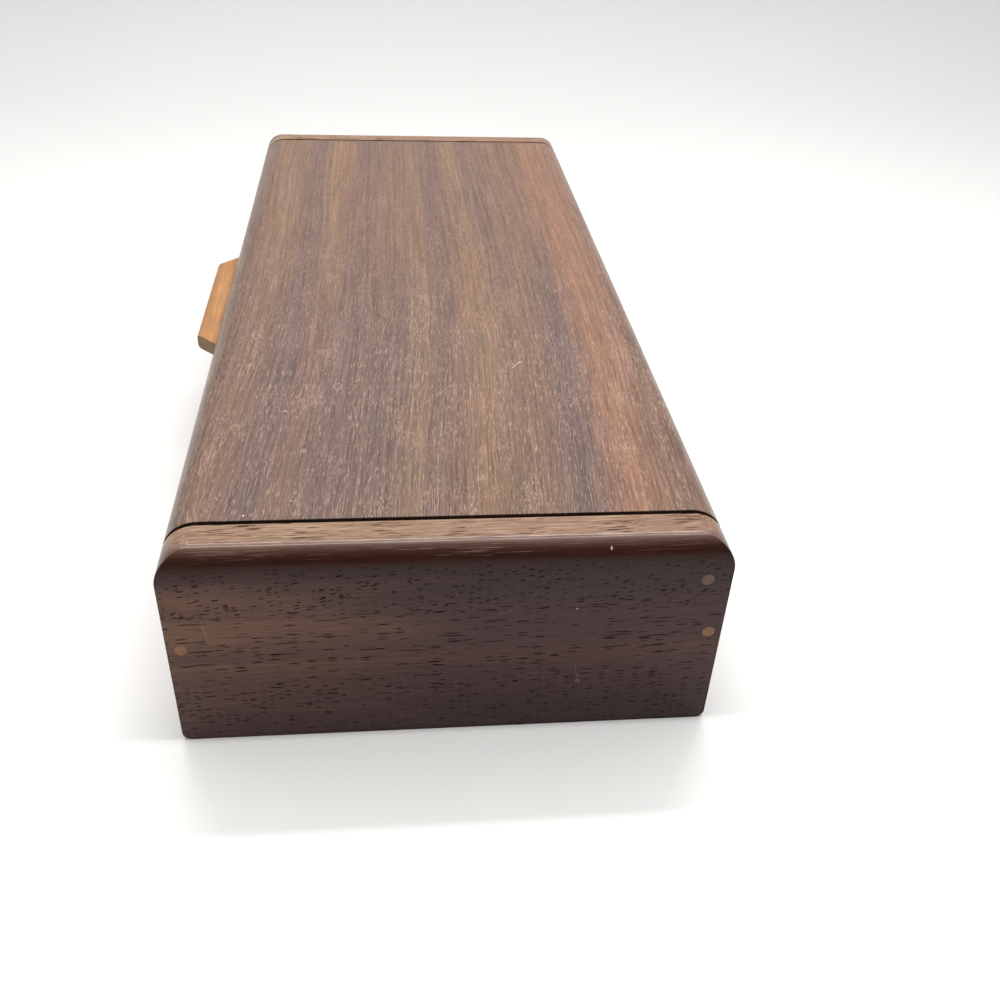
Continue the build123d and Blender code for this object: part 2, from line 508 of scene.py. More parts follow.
        polished = bench.math("MULTIPLY_ADD", dark_pores, -self.polish, self.polish)
        # End grain is duller and darker; on the lid, whose ends face the narrow gaps to the end panels, the
        # strong darkening is partly painted shade in those gaps.
        if self.cut_end is not None:
            start, lightness = self.cut_end
            outward = bench.math("ABSOLUTE", along)
            cut = bench.between(outward, start, start + 0.08, 1.0, lightness)
            colour = bench.shade(colour, cut)
            polished = bench.math("MULTIPLY", polished, cut)
        sunk = bench.math("MULTIPLY_ADD", dark_pores, -1.0, bench.math("MULTIPLY", fine, 0.35))
        surface = bench.math("MULTIPLY_ADD", pale_flecks, -0.4, sunk)
        normal = bench.relief(surface, 0.05 * MM, 0.6)
        return bench.finish(
            Base_Color=colour, Roughness=0.5, Normal=normal, Specular_IOR_Level=0.06,
            Coat_Weight=polished, Coat_Roughness=self.polish_rough,
        )

    def _nick(self, bench: Bench, along: Socket, across: Socket, nick: Nick) -> Socket:
        """Draws one small mark.

        Args:
            bench: The material in the making.
            along: The board's axis along the grain.
            across: The axis across it.
            nick: The mark.

        Returns:
            A mask that shows the mark as plainly as its strength says.
        """
        turn = math.radians(nick.turn)
        u = bench.math("SUBTRACT", along, nick.place[0] + self.shift[0])
        v = bench.math("SUBTRACT", across, nick.place[1] + self.shift[1])
        sine, cosine = math.sin(turn), math.cos(turn)
        lengthwise = bench.math("MULTIPLY_ADD", v, sine, bench.math("MULTIPLY", u, cosine))
        sideways = bench.math("MULTIPLY_ADD", u, -sine, bench.math("MULTIPLY", v, cosine))
        first = bench.math("POWER", bench.math("DIVIDE", lengthwise, nick.size[0]), 2.0)
        second = bench.math("POWER", bench.math("DIVIDE", sideways, nick.size[1]), 2.0)
        out = bench.math("ADD", first, second)
        if nick.hollow:
            out = bench.math("MULTIPLY", bench.math("ABSOLUTE", bench.math("SUBTRACT", out, 0.8)), 2.0)
        return bench.between(out, 0.4, 1.2, nick.strength, 0.0)


@dataclass(frozen=True)
class TanHardwood(Finish):
    """Orange-tan hardwood with a fine straight grain.

    Attributes:
        name: The material's name.
        grain: The way that the board was cut.
        light: The wood between its growth lines.
        dark: The growth lines.
        shift: Where in the log the board was cut, in millimetres.
        cut_end: Where the slanted ends of a pull cut the grain, as along less across, in millimetres.
    """

    name: str
    grain: Grain
    light: Colour = (0.49, 0.25, 0.095)
    dark: Colour = (0.34, 0.148, 0.053)
    shift: tuple[float, float, float] = (0.0, 0.0, 0.0)
    cut_end: float | None = None

    def material(self) -> bpy.types.Material:
        """Makes the grain, its short flecks and its relief.

        Returns:
            The new material.
        """
        bench = Bench(self.name)
        axes = bench.board_axes(self.grain, self.shift)
        rings = bench.noise(bench.stretched(axes, (45, 2.0, 2.0)), 3.0, 0.55, 0.4)
        lines = bench.noise(bench.stretched(axes, (14, 0.35, 0.35)), 2.0)
        cloud = bench.noise(bench.stretched(axes, (12, 3.0, 3.0)), 2.0)
        blend = bench.between(bench.math("MULTIPLY_ADD", lines, 0.35, rings), 0.45, 0.95)
        colour = bench.mix(blend, self.dark, self.light)
        colour = bench.shade(colour, bench.between(cloud, 0.3, 0.7, 0.88, 1.10))
        flecks = bench.pore_mask(axes, Pores((2.6, 0.7, 0.7), 0.22))
        colour = bench.mix(bench.math("MULTIPLY", flecks, 0.35), colour, self.dark)
        if self.cut_end is not None:
            past = bench.math("SUBTRACT", bench.math("ABSOLUTE", axes[0]), axes[1])
            cut = bench.between(past, self.cut_end - 0.3, self.cut_end - 0.1, 0.0, 0.85)
            grain_end = bench.pore_mask((axes[2], axes[1], axes[0]), Pores((0.5, 0.5, 2.0), 0.40, 0.7))
            open_ends = bench.math("MULTIPLY", grain_end, 0.5)
            sawn = bench.mix(open_ends, (0.200, 0.115, 0.036), (0.09, 0.050, 0.018))
            colour = bench.mix(cut, colour, sawn)
        normal = bench.relief(bench.math("SUBTRACT", lines, flecks), 0.04 * MM, 0.5)
        roughness = bench.between(rings, 0.3, 0.7, 0.36, 0.44)
        return bench.finish(Base_Color=colour, Roughness=roughness, Normal=normal, Specular_IOR_Level=0.3)


@dataclass(frozen=True)
class DowelEndGrain(Finish):
    """A sanded dowel that shows its end grain.

    Attributes:
        name: The material's name.
        colour: The wood between its pores.
        pore: The pores.
    """

    name: str
    colour: Colour = (0.285, 0.128, 0.048)
    pore: Colour = (0.08, 0.036, 0.020)

    def material(self) -> bpy.types.Material:
        """Makes the round pores of end grain.

        Returns:
            The new material.
        """
        bench = Bench(self.name)
        axes = bench.board_axes(Grain.FLAT_ALONG_X, (0.0, 0.0, 0.0))
        cloud = bench.noise(bench.stretched(axes, (8, 1.1, 1.1)), 3.0, 0.6)
        pores = bench.pore_mask(axes, Pores((6, 0.36, 0.36), 0.40, 0.80, patchy=0.2))
        base = bench.shade(self.colour, bench.between(cloud, 0.3, 0.7, 0.8, 1.2))
        colour = bench.mix(bench.math("MULTIPLY", pores, 0.6), base, self.pore)
        normal = bench.relief(bench.math("MULTIPLY", pores, -1.0), 0.03 * MM, 0.5)
        return bench.finish(Base_Color=colour, Roughness=0.5, Normal=normal)


@dataclass(frozen=True)
class PaleHardwood(Finish):
    """Plain pale hardwood, left nearly matt.

    Attributes:
        name: The material's name.
    """

    name: str

    def material(self) -> bpy.types.Material:
        """Makes soft growth lines and small brown flecks.

        Returns:
            The new material.
        """
        bench = Bench(self.name)
        axes = bench.board_axes(Grain.FLAT_ALONG_X, (0.0, 0.0, 0.0))
        sway = bench.sway(bench.noise(bench.stretched(axes, (120, 30, 30)), 1.0), 6.0)
        ring = bench.math("ADD", axes[1], sway)
        curved = (axes[0], ring, axes[2])
        growth = bench.noise(bench.stretched(curved, (160, 3.2, 3.2)), 3.0)
        lines = bench.noise(bench.stretched(curved, (16, 0.4, 0.4)), 2.0)
        blend = bench.between(bench.math("MULTIPLY_ADD", lines, 0.4, growth), 0.4, 1.05)
        colour = bench.mix(blend, (0.42, 0.27, 0.15), (0.56, 0.40, 0.25))
        flecks = bench.pore_mask(curved, Pores((3.0, 0.6, 0.6), 0.2))
        colour = bench.mix(bench.math("MULTIPLY", flecks, 0.5), colour, (0.24, 0.13, 0.07))
        normal = bench.relief(bench.math("SUBTRACT", lines, flecks), 0.05 * MM, 0.5)
        return bench.finish(Base_Color=colour, Roughness=0.58, Normal=normal)


@dataclass(frozen=True)
class Suede(Finish):
    """Brown suede with a short nap that lies this way and that.

    Attributes:
        name: The material's name.
    """

    name: str

    def material(self) -> bpy.types.Material:
        """Makes the nap, its brushed patches and its sheen.

        Returns:
            The new material.
        """
        bench = Bench(self.name)
        axes = bench.board_axes(Grain.FLAT_ALONG_X, (0.0, 0.0, 0.0))
        brushed = bench.noise(bench.stretched(axes, (34, 20, 20)), 3.0, 0.55, 0.3)
        nap = bench.noise(bench.stretched(axes, (0.45, 0.45, 0.45)), 3.0, 0.7)
        base = bench.mix(bench.between(brushed, 0.35, 0.65), (0.130, 0.067, 0.040), (0.166, 0.088, 0.053))
        colour = bench.shade(base, bench.between(nap, 0.2, 0.8, 0.72, 1.25))
        normal = bench.relief(nap, 0.18 * MM, 0.7)
        return bench.finish(
            Base_Color=colour, Roughness=0.92, Normal=normal, Specular_IOR_Level=0.2,
            Sheen_Weight=0.45, Sheen_Roughness=0.45, Sheen_Tint=(0.80, 0.62, 0.50),
        )


@dataclass(frozen=True)
class SweepPaper(Finish):
    """The smooth white sweep that the box stands on.

    Attributes:
        name: The material's name.
    """

    name: str

    def material(self) -> bpy.types.Material:
        """Makes a soft white with a faint cloudiness, with painted light that makes it whiter where it
        rises behind the box and towards +Y.

        Returns:
            The new material.
        """
        bench = Bench(self.name)
        axes = bench.board_axes(Grain.FLAT_ALONG_X, (0.0, 0.0, 0.0))
        cloud = bench.noise(bench.stretched(axes, (140, 140, 140)), 1.0)
        colour = bench.mix(bench.between(cloud, 0.3, 0.7), (0.895, 0.895, 0.885), (0.905, 0.905, 0.895))
        # Painted light: whiter where the sweep rises behind the box, and a little whiter towards +Y.
        colour = bench.shade(colour, bench.between(axes[0], -600.0, -330.0, 1.07, 1.0))
        colour = bench.shade(colour, bench.between(axes[1], 50.0, 450.0, 1.0, 1.025))
        return bench.finish(Base_Color=colour, Roughness=0.30, Specular_IOR_Level=0.4)


LID_NEAR = (
    Stripe(-76, Tone.UMBER), Stripe(-58, Tone.UMBER), Stripe(-50, Tone.RUSSET), Stripe(-43, Tone.PURPLE),
    Stripe(-39, Tone.PURPLE), Stripe(-34, Tone.RUSSET), Stripe(-26, Tone.PURPLE), Stripe(-18, Tone.UMBER),
    Stripe(-8, Tone.PURPLE), Stripe(-2, Tone.TAN), Stripe(3, Tone.PURPLE), Stripe(10, Tone.RUSSET),
    Stripe(18, Tone.TAN), Stripe(25, Tone.UMBER), Stripe(32, Tone.RUSSET), Stripe(38, Tone.PURPLE),
    Stripe(43, Tone.PURPLE), Stripe(49, Tone.ORANGE), Stripe(54, Tone.ORANGE), Stripe(60, Tone.RUSSET),
    Stripe(84, Tone.PURPLE),
)
LID_FAR = (
    Stripe(-80, Tone.UMBER), Stripe(-60, Tone.UMBER), Stripe(-52, Tone.TAN), Stripe(-44, Tone.UMBER),
    Stripe(-40, Tone.PURPLE), Stripe(-34, Tone.TAN), Stripe(-28, Tone.RUSSET), Stripe(-21, Tone.PURPLE),
    Stripe(-13, Tone.RUSSET), Stripe(-6, Tone.UMBER), Stripe(-2, Tone.TAN), Stripe(3, Tone.PURPLE),
    Stripe(10, Tone.UMBER), Stripe(16, Tone.TAN), Stripe(22, Tone.PURPLE), Stripe(32, Tone.RUSSET),
    Stripe(39, Tone.UMBER), Stripe(44, Tone.RUSSET), Stripe(51, Tone.ORANGE), Stripe(80, Tone.PURPLE),
)
# In both end tables the near-black red stripes from 51 to 57 mm lie on the panels' rounded top edge; their
# colour is partly the wood's deep red and partly painted shade on the round.
END_NEAR = (
    Stripe(-10, Tone.INK), Stripe(2, Tone.INK), Stripe(9, Tone.INK), Stripe(15, Tone.PLUM),
    Stripe(21, Tone.PLUM), Stripe(25, Tone.COCOA), Stripe(29, Tone.PLUM), Stripe(34, Tone.PLUM),
    Stripe(40, Tone.PLUM), Stripe(45, Tone.INK), Stripe(49, Tone.INK), Stripe(51, Tone.SHADED_GARNET),
    Stripe(57, Tone.SHADED_GARNET), Stripe(59, Tone.MAROON), Stripe(60.5, Tone.PURPLE), Stripe(62.5, Tone.STRAW),
    Stripe(64.5, Tone.RUSSET), Stripe(68, Tone.STRAW), Stripe(80, Tone.UMBER),
)
END_FAR = (
    Stripe(-10, Tone.PLUM), Stripe(2, Tone.PLUM), Stripe(9, Tone.COCOA), Stripe(17, Tone.COCOA),
    Stripe(21, Tone.COCOA), Stripe(24, Tone.CHESTNUT), Stripe(27, Tone.PLUM), Stripe(31, Tone.CHESTNUT),
    Stripe(37, Tone.CHESTNUT), Stripe(41, Tone.COCOA), Stripe(45, Tone.CHESTNUT), Stripe(49, Tone.COCOA),
    Stripe(51, Tone.SHADED_GARNET), Stripe(57, Tone.SHADED_GARNET), Stripe(59, Tone.MAROON), Stripe(60.5, Tone.UMBER),
    Stripe(62.5, Tone.TAN), Stripe(64.5, Tone.STRAW), Stripe(68, Tone.TAN), Stripe(80, Tone.UMBER),
)
WALL_STRIPES = (
    Stripe(-40, Tone.COCOA), Stripe(-20, Tone.UMBER), Stripe(0, Tone.COCOA), Stripe(7, Tone.CHESTNUT),
    Stripe(13, Tone.COCOA), Stripe(20, Tone.UMBER), Stripe(26, Tone.CHESTNUT), Stripe(32, Tone.MAROON),
    Stripe(39, Tone.PURPLE), Stripe(60, Tone.CHESTNUT), Stripe(90, Tone.COCOA),
)
LID_FLECKS = (
    Flecks((4.2, 0.34, 0.7), 0.575, 0.06, lean=-0.02, patch=(26.0, 5.0, 6.0), patchy=0.24),
    Flecks((1.8, 0.40, 0.7), 0.640, 0.06, lean=0.12, patch=(16.0, 8.0, 8.0), patchy=0.60),
)
END_PORES = (
    Pores(
        (2.0, 0.44, 0.9), 0.42, 0.40, lean=0.22, zone=(39.0, 53.5), zone_edge=1.5,
        patch=(13, 6, 6), patchy=0.25,
    ),
    Pores((10.0, 0.41, 0.9), 0.41, 0.16, lean=0.01, zone=(24.0, 40.0), patch=(26, 5, 5), patchy=0.45),
    Pores((4.2, 0.42, 0.9), 0.41, 0.27, lean=0.04, zone=(12.0, 43.0), patch=(14, 6, 6), patchy=0.35),
    Pores((2.2, 0.45, 1.0), 0.41, 0.32, lean=0.06, zone=(-4.0, 19.0), patch=(13, 7, 7), patchy=0.35),
    Pores((18.0, 0.38, 0.42), 0.46, 0.27, lean=0.09, zone=(61.5, 74.0), zone_edge=1.0, patchy=0.6),
)
END_FLECKS = (
    Flecks((12.0, 0.24, 0.3), 0.620, 0.05, lean=0.01, zone=(56.0, 60.0), patchy=0.40),
    Flecks((16.0, 0.36, 0.5), 0.530, 0.07, lean=0.06, zone=(61.0, 74.0), patchy=0.3),
)
WALL_PORES = (
    Pores((9.0, 0.52, 1.0), 0.40, 0.26, patchy=0.5),
    Pores((3.2, 0.52, 1.0), 0.40, 0.26, lean=0.03, patchy=0.5),
)
LID_MARKS = (
    Nick((70.4, 23.3), (2.6, 0.20), -34.0, 0.45),
    Nick((68.4, 24.9), (0.7, 0.35), -75.0, 0.5),
    Nick((73.7, 19.5), (2.1, 0.18), 82.0, 0.22),
    Nick((76.0, 29.4), (6.2, 0.14), 45.0, 0.09),
    Nick((94.8, -41.0), (0.45, 0.3), strength=0.5),
    Nick((114.4, -35.3), (1.2, 1.0), strength=0.13),
    Nick((81.7, -27.6), (1.9, 1.3), hollow=True, strength=0.13),
    Nick((78.2, -26.5), (0.35, 0.3), strength=0.3),
    Nick((141.6, -47.5), (0.4, 0.3), strength=0.7),
    Nick((134.7, -54.3), (1.1, 0.25), 38.0, 0.2),
    Nick((106.5, -8.2), (1.1, 0.16), 62.0, 0.25),
)
END_MARKS = (
    Nick((-57.2, 36.0), (5.6, 0.14), 98.0, 0.09),
    Nick((31.2, 18.4), (3.3, 0.13), 103.0, 0.12),
    Nick((31.9, 15.0), (0.5, 0.45), hollow=True, strength=0.25),
    Nick((29.8, 39.1), (0.3, 0.25), strength=0.6),
    Nick((13.9, 39.1), (0.2, 0.2), strength=0.4),
    Nick((36.6, 56.2), (0.25, 0.45), strength=0.9),
)


class Timber:
    """A closed shape in the making, cut and rounded as wood is."""

    def __init__(self) -> None:
        """Starts with nothing."""
        self.bm = bmesh.new()

    @classmethod
    def block(cls, low: Sequence[float], high: Sequence[float]) -> "Timber":
        """Squares up a block.

        Args:
            low: The corner with the lowest values.
            high: The corner with the highest.

        Returns:
            The block.
        """
        made = cls()
        low, high = Vector(low), Vector(high)
        verts = bmesh.ops.create_cube(made.bm, size=1.0)["verts"]
        bmesh.ops.scale(made.bm, vec=high - low, verts=verts)
        bmesh.ops.translate(made.bm, vec=(low + high) / 2, verts=verts)
        return made

    @classmethod
    def rod(cls, low: Sequence[float], high: Sequence[float], segments: int = 48) -> "Timber":
        """Turns a round rod along X.

        Args:
            low: The corner with the lowest values.
            high: The corner with the highest.
            segments: How many flats make up the round.

        Returns:
            The rod.
        """
        made = cls()
        low, high = Vector(low), Vector(high)
        size = high - low
        turn = Matrix.Translation((low + high) / 2) @ Matrix.Rotation(math.pi / 2, 4, "Y")
        bmesh.ops.create_cone(
            made.bm, cap_ends=True, cap_tris=False, segments=segments,
            radius1=size.z / 2, radius2=size.z / 2, depth=size.x, matrix=turn,
        )
        return made

    def edges(self, test: Callable[[Vector], bool], along: str) -> list[bmesh.types.BMEdge]:
        """Finds the edges along an axis whose middle passes a test.

        Args:
            test: Whether an edge with this middle is wanted.
            along: The axis: x, y or z.

        Returns:
            The edges.
        """
        axis = "xyz".index(along)
        found = []
        for edge in self.bm.edges:
            run = edge.verts[1].co - edge.verts[0].co
            if abs(run[axis]) > 0.999 * run.length and test((edge.verts[0].co + edge.verts[1].co) / 2):
                found.append(edge)
        return found

    def sharp_edges(self, degrees: float) -> list[bmesh.types.BMEdge]:
        """The edges whose two faces turn by more than an angle."""
        limit = math.radians(degrees)
        return [edge for edge in self.bm.edges if edge.calc_face_angle(0.0) > limit]

    def round(self, edges: Iterable[bmesh.types.BMEdge], radius: float, segments: int) -> "Timber":
        """Rounds some edges to a radius.

        Args:
            edges: The edges.
            radius: The radius, in metres.
            segments: How many flats make up the round.

        Returns:
            The same shape.
        """
        bmesh.ops.bevel(
            self.bm, geom=list(edges), offset=radius, offset_type="OFFSET", segments=segments,
            profile=0.5, affect="EDGES", material=-1, clamp_overlap=True,
        )
        return self

    def plane_off(self, point: Sequence[float], normal: Sequence[float]) -> None:
        """Takes off what lies beyond a plane, as one stroke of a hand plane does.

        Args:
            point: A point on the plane.
            normal: The way out of the wood.
        """
        geometry = self.bm.verts[:] + self.bm.edges[:] + self.bm.faces[:]
        cut = bmesh.ops.bisect_plane(
            self.bm, geom=geometry, dist=1e-7, plane_co=point, plane_no=normal, clear_outer=True,
        )["geom_cut"]
        rim = [item for item in cut if isinstance(item, bmesh.types.BMEdge)]
        bmesh.ops.holes_fill(self.bm, edges=rim, sides=0)

    def score(self, point: Sequence[float], normal: Sequence[float]) -> None:
        """Marks a line round the shape where a plane crosses it."""
        geometry = self.bm.verts[:] + self.bm.edges[:] + self.bm.faces[:]
        bmesh.ops.bisect_plane(self.bm, geom=geometry, dist=1e-7, plane_co=point, plane_no=normal)

    def draw_out(self, test: Callable[[bmesh.types.BMFace], bool], move: Sequence[float]) -> None:
        """Draws some faces out into a tongue.

        Args:
            test: Whether a face is wanted.
            move: The way and how far, in metres.
        """
        faces = [face for face in self.bm.faces if test(face)]
        drawn = bmesh.ops.extrude_face_region(self.bm, geom=faces)["geom"]
        verts = [item for item in drawn if isinstance(item, bmesh.types.BMVert)]
        bmesh.ops.translate(self.bm, vec=move, verts=verts)
        bmesh.ops.delete(self.bm, geom=faces, context="FACES")

    def carve(self, tools: Sequence["Timber"]) -> "Timber":
        """Cuts the tools' shapes out of this one, one after the other.

        Args:
            tools: The shapes to cut out, which are used up.

        Returns:
            The same shape.
        """
        holder = self.stand_in("holder")
        blades = [tool.stand_in("blade") for tool in tools]
        for blade in blades:
            change = holder.modifiers.new("carve", "BOOLEAN")
            change.operation = "DIFFERENCE"
            change.solver = "EXACT"
            change.object = blade
        view = bpy.context.evaluated_depsgraph_get()
        carved = bpy.data.meshes.new_from_object(holder.evaluated_get(view))
        self.bm = bmesh.new()
        self.bm.from_mesh(carved)
        for mesh in (carved, holder.data, *(blade.data for blade in blades)):
            bpy.data.meshes.remove(mesh)
        return self

    def stand_in(self, name: str) -> bpy.types.Object:
        """Makes an object that holds the shape for one operation.

        Args:
            name: The object's name.

        Returns:
            The new object.
        """
        made = bpy.data.objects.new(name, self.mesh(name))
        bpy.context.scene.collection.objects.link(made)
        return made

    def mesh(self, name: str) -> bpy.types.Mesh:
        """Closes the work and gives it as a mesh.

        Args:
            name: The mesh's name.

        Returns:
            The new mesh, with its faces pointing outwards.
        """
        bmesh.ops.remove_doubles(self.bm, verts=self.bm.verts, dist=1e-7)
        bmesh.ops.recalc_face_normals(self.bm, faces=self.bm.faces)
        made = bpy.data.meshes.new(name)
        self.bm.to_mesh(made)
        self.bm.free()
        return made

    def piece(self, name: str, crease: float = 28.0) -> bpy.types.Object:
        """Makes a finished piece, smooth on its rounds and crisp at its edges.

        Args:
            name: The piece's name.
            crease: The turn in degrees from which an edge stays crisp.

        Returns:
            The new object.
        """
        mesh = self.mesh(name)
        mesh.shade_smooth()
        mesh.set_sharp_from_angle(angle=math.radians(crease))
        made = bpy.data.objects.new(name, mesh)
        bpy.context.scene.collection.objects.link(made)
        even = made.modifiers.new("even_shading", "WEIGHTED_NORMAL")
        even.keep_sharp = True
        return made


def seat(piece: bpy.types.Object, body: Body, finish: bpy.types.Material, node: str) -> None:
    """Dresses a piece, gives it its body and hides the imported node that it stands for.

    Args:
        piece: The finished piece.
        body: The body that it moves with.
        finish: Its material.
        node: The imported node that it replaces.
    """
    piece.data.materials.clear()
    piece.data.materials.append(finish)
    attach(piece, body.value)
    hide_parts(node)
    log.info("%s: %d faces, on %s", piece.name, len(piece.data.polygons), body.value)


class Assembly(ABC):
    """A group of pieces that are made together."""

    @abstractmethod
    def make(self) -> None:
        """Builds and dresses the pieces."""


@dataclass
class Joinery:
    """The cuts that the pieces share, with their sizes.

    Attributes:
        glue_gap: The room for glue in a joint, in metres, as all sizes here are.
        bore_end_gap: The room past a dowel's or pin's inner end.
        pin_running_gap: The room round a hinge pin in the lid.
        tongue_length: The depth of the groove that takes a wall's tongue.
        tongue_thickness: The thickness of the tongues.
    """

    glue_gap: float = 0.1 * MM
    bore_end_gap: float = 0.5 * MM
    pin_running_gap: float = 0.05 * MM
    tongue_length: float = 3.0 * MM
    tongue_thickness: float = 3.2 * MM

    def bore(self, node: str, room: float = 0.0) -> Timber:
        """Lays out the bore for a dowel or pin, open at its outer end.

        Args:
            node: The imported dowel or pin.
            room: How much wider the bore is all round, in metres.

        Returns:
            The shape to cut out.
        """
        low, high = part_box(node)
        outward = math.copysign(1.0, low.x + high.x)
        if outward > 0:
            low.x -= self.bore_end_gap
            high.x += MM
        else:
            high.x += self.bore_end_gap
            low.x -= MM
        low.y -= room
        low.z -= room
        high.y += room
        high.z += room
        return Timber.rod(low, high)


@dataclass
class EndPanels(Assembly):
    """The two full-height end panels.

    Attributes:
        joinery: The cuts that they share with the other pieces.
        edge_round: The radius of both upper corners, in metres, as all sizes here are.
        foot_round: The radius of both lower corners.
        outer_round: The radius along the outer top edge.
        outer_drop: How far below the top that round begins.
        outer_ease: The radius that eases it into the flat top.
        strokes: How many strokes of the plane make up each of its two arcs.
        arris: The radius of the sharp edges that are left.
    """

    joinery: Joinery
    edge_round: float = 9.0 * MM
    foot_round: float = 2.3 * MM
    outer_round: float = 8.0 * MM
    outer_drop: float = 6.5 * MM
    outer_ease: float = 3.0 * MM
    strokes: int = 14
    arris: float = 0.2 * MM

    def make(self) -> None:
        """Makes both panels. Only the right one shows marks of use."""
        for end in ENDS:
            node = "end_panel_" + end
            low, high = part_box(node)
            side = math.copysign(1.0, low.x + high.x)
            outer = max(abs(low.x), abs(high.x)) / MM
            wood = Rosewood(
                "rosewood_end_" + end, Grain.UPRIGHT_ALONG_Y, END_NEAR, END_FAR, tilt=-0.8 * side,
                shift=(0.0, 0.0, -outer * side), wander=1.2, waver=0.4, contrast=0.55, hair=(8.0, 0.42),
                pores=END_PORES, flecks=END_FLECKS, turning=(-70.0, 14.0),
                lightness_and_shade=(1.0, 1.0) if side > 0 else (1.2, 1.2), cut_end=(high.y / MM - 0.2, 0.75),
                polish=0.44, polish_rough=0.14, nicks=END_MARKS if side > 0 else (),
            )
            seat(self.build(end), Body.BOX, wood.material(), node)

    def build(self, end: str) -> bpy.types.Object:
        """Shapes one end panel.

        Args:
            end: The end of the box that it closes, right or left.

        Returns:
            The finished panel.
        """
        low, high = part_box("end_panel_" + end)
        side = math.copysign(1.0, low.x + high.x)
        panel = Timber.block(low, high)
        panel.round(panel.edges(lambda middle: middle.z > high.z - MM, "x"), self.edge_round, 24)
        feet = panel.edges(lambda middle: middle.z < MM and abs(middle.y) > high.y - MM, "x")
        panel.round(feet, self.foot_round, 8)
        self._plane_outer_round(panel, side, high.z)
        panel.round(panel.sharp_edges(26.0), self.arris, 3)
        panel.carve(self._joints(end))
        return panel.piece("end_panel_wood_" + end)

    def _plane_outer_round(self, panel: Timber, side: float, top: float) -> None:
        """Planes the round along the outer top edge, stroke by stroke.

        The round is an arc that touches the outer face and breaks into the flat top at a
        soft edge, because its middle lies higher than a full quarter round's would.

        Args:
            panel: The panel in the making.
            side: 1 for the right panel and -1 for the left.
            top: The height of the flat top, in metres.
        """
        outer = max(abs(vert.co.x) for vert in panel.bm.verts)
        main = Vector((outer - self.outer_round, 0, top - self.outer_drop))
        rise = self.outer_drop - self.outer_ease
        reach = self.outer_round - self.outer_ease
        ease = main + Vector((math.sqrt(reach**2 - rise**2), 0, rise))
        meeting = math.asin(rise / reach)
        arcs = (
            (ease, self.outer_ease, meeting, math.pi / 2),
            (main, self.outer_round, 0.0, meeting),
        )
        for centre, radius, start, end in arcs:
            for stroke in range(self.strokes):
                angle = start + (end - start) * (stroke + 0.5) / self.strokes
                normal = Vector((side * math.cos(angle), 0, math.sin(angle)))
                middle = Vector((side * centre.x, 0, centre.z))
                panel.plane_off(middle + normal * radius, normal)

    def _joints(self, end: str) -> list[Timber]:
        """Lays out the bores, the grooves for the walls' tongues and the recess for the bottom.

        Args:
            end: The end of the box that the panel closes.

        Returns:
            The shapes to cut out.
        """
        tools = [self.joinery.bore(f"{name}_{end}") for name in PIN_KINDS]
        bottom_low, bottom_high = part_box("bottom_panel")
        room = self.joinery.glue_gap
        lap_low = Vector((bottom_low.x - room, bottom_low.y - room, -MM))
        tools.append(Timber.block(lap_low, bottom_high + Vector((room, room, 0))))
        for name in ("front_wall", "back_wall"):
            wall_low, wall_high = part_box(name)
            inner = min(abs(wall_low.y), abs(wall_high.y))
            outer = inner + self.joinery.tongue_thickness
            first, last = sorted((math.copysign(inner, wall_low.y), math.copysign(outer, wall_low.y)))
            reach = wall_high.x + room
            tools.append(Timber.block((-reach, first, bottom_high.z), (reach, last, wall_high.z)))
        return tools


